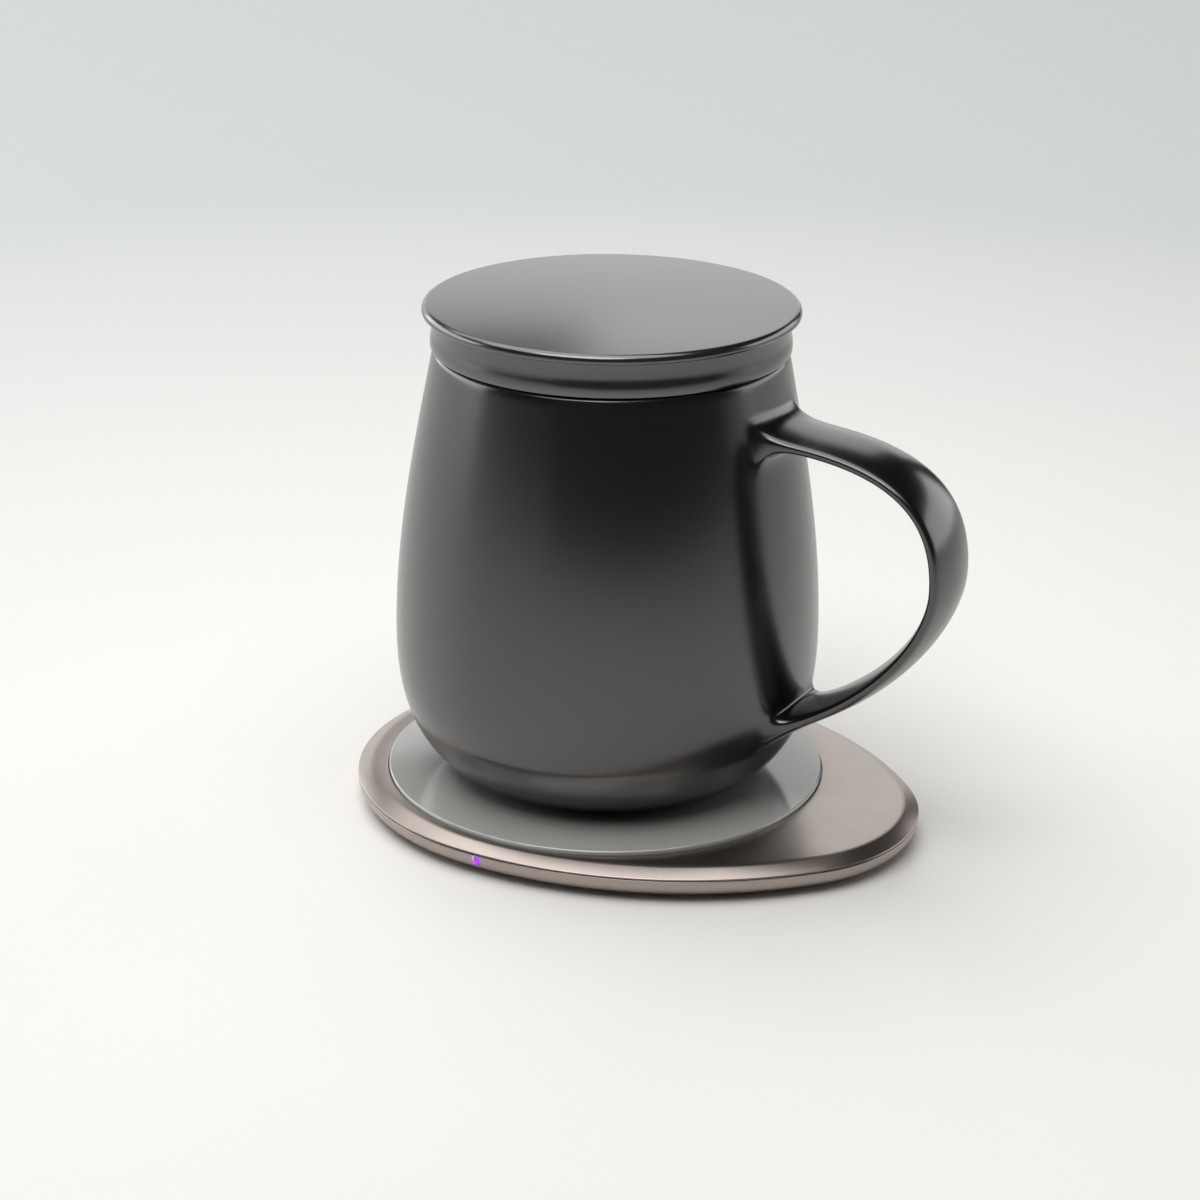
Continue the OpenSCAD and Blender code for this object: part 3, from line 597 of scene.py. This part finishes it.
def grained(name, colour, roughness, size, depth, metallic=0.0, spread=0.12, rough_spread=0.05):
    """A finish with fine grain: colour and roughness drift a little, and the grain stands up a little."""
    material, nodes, links, shader = new_material(name, colour, roughness, metallic)
    fine = grain(nodes, links, size)
    broad = grain(nodes, links, 40 * size, 2.0)
    tint(nodes, links, broad, shader.inputs["Base Color"],
         scaled(colour, 1 - spread), scaled(colour, 1 + spread))
    vary(nodes, links, fine, shader.inputs["Roughness"], roughness - rough_spread, roughness + rough_spread)
    emboss(nodes, links, fine, shader, depth)
    return material, shader


def charcoal_glaze(name, shade, roughness, ior):
    """Satin glaze of the mug and its lid: nearly neutral and very dark, with an even gloss."""
    material, shader = grained(name, (shade, shade, 1.02 * shade), roughness, 0.5 * MM, 0.0002 * MM,
                               rough_spread=0.015)
    shader.inputs["IOR"].default_value = ior
    return material


def anodised_metal():
    return grained("rose_bronze_anodised", (0.38, 0.332, 0.303), 0.3, 0.25 * MM, 0.0012 * MM, 1.0,
                   spread=0.04, rough_spread=0.02)[0]


def painted_glass():
    material, shader = grained("grey_painted_glass", (0.34, 0.345, 0.322), 0.13, 0.8 * MM, 0.0004 * MM,
                               spread=0.05, rough_spread=0.02)
    shader.inputs["IOR"].default_value = 2.0
    return material


def violet_lens():
    """Lit violet, with a painted highlight: a pale crescent in the emitted colour along the edge of the lens
    that faces away from the tip.
    """
    material, shader = grained("violet_light", (0.2, 0.02, 0.45), 0.25, 0.4 * MM, 0.002 * MM)
    nodes, links = material.node_tree.nodes, material.node_tree.links
    middle = (PIPE_LOW + PIPE_HIGH) / 2
    pale, violet = (0.9, 0.8, 1.0), (0.4, 0.016, 0.8)
    # Painted highlight: the pale crescent is set in the emitted colour by distance from a point off the
    # lens's middle, not lit by a lamp.
    glow = falloff(nodes, links, Vector((middle.x + 0.45 * LENS_R, PIPE_LOW.y, middle.z)), 2 * LENS_R)
    tint(nodes, links, glow, shader.inputs["Emission Color"], pale, violet, 0.35, 0.44)
    shader.inputs["Emission Strength"].default_value = 1.0
    return material


def drawn_metal(name, colour, roughness):
    """Bright or coloured metal with fine lines along its length."""
    material, nodes, links, shader = new_material(name, colour, roughness, 1.0)
    place = nodes.new("ShaderNodeTexCoord")
    stretch = nodes.new("ShaderNodeMapping")
    stretch.inputs["Scale"].default_value = (1, 12, 12)
    lines = nodes.new("ShaderNodeTexNoise")
    lines.inputs["Scale"].default_value = 1 / (1.5 * MM)
    links.new(place.outputs["Object"], stretch.inputs["Vector"])
    links.new(stretch.outputs["Vector"], lines.inputs["Vector"])
    fine = lines.outputs["Fac"]
    vary(nodes, links, fine, shader.inputs["Roughness"], roughness - 0.08, roughness + 0.08)
    tint(nodes, links, fine, shader.inputs["Base Color"], scaled(colour, 0.9), scaled(colour, 1.1))
    return material


def circuit_board():
    """Green solder mask with darker tracks."""
    material, nodes, links, shader = new_material("circuit_board", (0.02, 0.09, 0.04), 0.35)
    place = nodes.new("ShaderNodeTexCoord")
    tracks = nodes.new("ShaderNodeTexBrick")
    tracks.inputs["Scale"].default_value = 1 / (12 * MM)
    tracks.inputs["Mortar Size"].default_value = 0.03
    tracks.inputs["Color1"].default_value = (0.018, 0.085, 0.038, 1)
    tracks.inputs["Color2"].default_value = (0.022, 0.095, 0.042, 1)
    tracks.inputs["Mortar"].default_value = (0.04, 0.15, 0.06, 1)
    links.new(place.outputs["Object"], tracks.inputs["Vector"])
    links.new(tracks.outputs["Color"], shader.inputs["Base Color"])
    return material


def inner_finishes():
    """Finishes of the solids that keep their own shape, by material slot."""
    return {
        "silicone": grained("matt_silicone", (0.03, 0.03, 0.032), 0.75, 0.3 * MM, 0.01 * MM)[0],
        "steel": drawn_metal("plain_steel", (0.5, 0.51, 0.52), 0.3),
        "copper": drawn_metal("enamelled_copper", (0.5, 0.2, 0.075), 0.3),
        "ferrite": grained("sintered_ferrite", (0.06, 0.06, 0.065), 0.6, 0.2 * MM, 0.01 * MM)[0],
        "circuit_board": circuit_board(),
        "chip_plastic": grained("moulded_black", (0.018, 0.018, 0.02), 0.5, 0.15 * MM, 0.005 * MM)[0],
        "capacitor_ceramic": grained("tan_ceramic", (0.5, 0.34, 0.15), 0.45, 0.2 * MM, 0.004 * MM)[0],
        "carrier_plastic": grained("moulded_ivory", (0.6, 0.6, 0.57), 0.5, 0.3 * MM, 0.005 * MM)[0],
        "adhesive": grained("black_adhesive", (0.06, 0.06, 0.06), 0.7, 0.3 * MM, 0.01 * MM)[0],
        "heater_film": grained("polyimide_film", (0.26, 0.1, 0.03), 0.3, 0.6 * MM, 0.004 * MM)[0],
        "insulation": grained("felt", (0.48, 0.45, 0.38), 0.9, 0.25 * MM, 0.04 * MM)[0],
        "base_plastic": grained("matt_base_plastic", (0.02, 0.02, 0.021), 0.55, 0.25 * MM, 0.006 * MM)[0],
    }


def dress_solids(finishes):
    """Gives every solid that is still shown the finish of its material slot."""
    slots = {part["node"]: part["material_slot"] for part in frame["record"]["subparts"]}
    for name, solid in frame["nodes"].items():
        if slots[name] in finishes and not solid.hide_render:
            solid.data.materials.clear()
            solid.data.materials.append(finishes[slots[name]])


# Camera of the photograph
CAMERA_PLACE = Vector((284.1, -544.0, 282.1)) * MM
CAMERA_HEADING = Vector((-0.4648, 0.8084, -0.3611))
CAMERA_LENS = 93.3
CAMERA_SHIFT = 0.092

# Soft panels: azimuth and elevation in degrees, distance, width and height in metres, power in watts
LAMPS = {
    "back": (217.6, 11, 2.2, 2.75, 0.86, 8.9),
    "back_right": (197.6, 31, 2, 0.71, 0.71, 2),
    "back_left": (239.6, 46, 2, 1.62, 0.78, 6.4),
    "left": (272.6, 14, 2.2, 2.54, 1.02, 22),
    "right": (143.6, 14, 2.2, 2.34, 1.02, 13.5),
    "overhead": (335, 79, 1.6, 2.24, 1.7, 27.5),
    "front": (2.6, 58, 1.6, 1.17, 0.68, 8),
}


def camera():
    data = bpy.data.cameras.new("camera")
    data.lens = CAMERA_LENS
    data.sensor_width = 36
    data.shift_x = CAMERA_SHIFT
    data.clip_start = 0.01
    holder = bpy.data.objects.new("camera", data)
    holder.location = CAMERA_PLACE
    holder.rotation_euler = CAMERA_HEADING.to_track_quat("-Z", "Y").to_euler()
    bpy.context.scene.collection.objects.link(holder)
    bpy.context.scene.camera = holder


def pale_floor():
    """Floor that is white near the mug, pale grey-green further off, and glows where no lamp reaches."""
    half_side = 15
    near_reach, glow_reach = 1.0, 4.0
    bm = bmesh.new()
    bmesh.ops.create_grid(bm, x_segments=1, y_segments=1, size=half_side)
    mesh = bpy.data.meshes.new("floor")
    bm.to_mesh(mesh)
    bm.free()
    near, far = (0.79, 0.775, 0.747), (0.55, 0.58, 0.56)
    glow, unlit = (0.5, 0.53, 0.515), (0, 0, 0)
    material, nodes, links, shader = new_material("pale_floor", near, 0.6)
    tint(nodes, links, falloff(nodes, links, Vector(), near_reach), shader.inputs["Base Color"],
         far, near, 0.45, 0.87)
    tint(nodes, links, falloff(nodes, links, Vector(), glow_reach), shader.inputs["Emission Color"],
         glow, unlit, 0.43, 0.53)
    shader.inputs["Emission Strength"].default_value = 1.0
    material.cycles.emission_sampling = "NONE"
    mesh.materials.append(material)
    floor = bpy.data.objects.new("floor", mesh)
    bpy.context.scene.collection.objects.link(floor)


def flag():
    """A black card behind the camera, set round to the right, which keeps the mug's front dark."""
    width, height = 1.9, 0.8
    distance, middle_z = 0.7, 0.42
    turn = Matrix.Rotation(math.radians(18), 3, "Z")
    bm = bmesh.new()
    bmesh.ops.create_grid(bm, x_segments=1, y_segments=1, size=0.5,
                          matrix=Matrix.Diagonal((width, height, 1, 1)))
    mesh = bpy.data.meshes.new("flag")
    bm.to_mesh(mesh)
    bm.free()
    mesh.materials.append(new_material("black_card", (0.01, 0.01, 0.01), 0.9)[0])
    card = bpy.data.objects.new("flag", mesh)
    away = turn @ CAMERA_HEADING.xy.to_3d().normalized()
    card.location = -distance * away + Vector((0, 0, middle_z))
    card.rotation_euler = away.to_track_quat("Z", "Y").to_euler()
    card.visible_camera = card.visible_shadow = False
    bpy.context.scene.collection.objects.link(card)


def softbox(name, azimuth, elevation, distance, width, height, power):
    """A soft panel that faces the mug, placed by its direction: azimuth 0 stands in front, on the -Y side."""
    data = bpy.data.lights.new(name, "AREA")
    data.shape = "RECTANGLE"
    data.size = width
    data.size_y = height
    data.energy = power
    holder = bpy.data.objects.new(name, data)
    a, e = math.radians(azimuth), math.radians(elevation)
    aim = Vector((0, 0, 50 * MM))
    away = Vector((math.sin(a) * math.cos(e), -math.cos(a) * math.cos(e), math.sin(e)))
    holder.location = aim + distance * away
    holder.rotation_euler = (-away).to_track_quat("-Z", "Y").to_euler()
    holder.visible_camera = False
    bpy.context.scene.collection.objects.link(holder)


def dark_world():
    """A world without light of its own, so that only the lamps show in the glaze."""
    world = bpy.data.worlds.new("world")
    world.use_nodes = True
    world.node_tree.nodes["Background"].inputs["Strength"].default_value = 0
    bpy.context.scene.world = world


def build():
    metal = anodised_metal()
    finishes = inner_finishes()
    top_cover(metal)
    bottom_cover(metal)
    sole(finishes["silicone"])
    charging_plate(painted_glass())
    light_window(violet_lens())
    mug(charcoal_glaze("charcoal_mug", shade=0.004, roughness=0.22, ior=1.9))
    base_cover(finishes["base_plastic"])
    # The lid is a painted lighter copy of the mug's glaze: its base tone and IOR are raised to stand in for
    # the brighter light it catches.
    lid(charcoal_glaze("charcoal_lid_painted_lighter", shade=0.012, roughness=0.2, ior=2.1))
    dress_solids(finishes)


def studio():
    camera()
    pale_floor()
    flag()
    dark_world()
    for name, values in LAMPS.items():
        softbox(name, *values)
    bpy.context.scene.view_settings.view_transform = "Standard"


build()
studio()
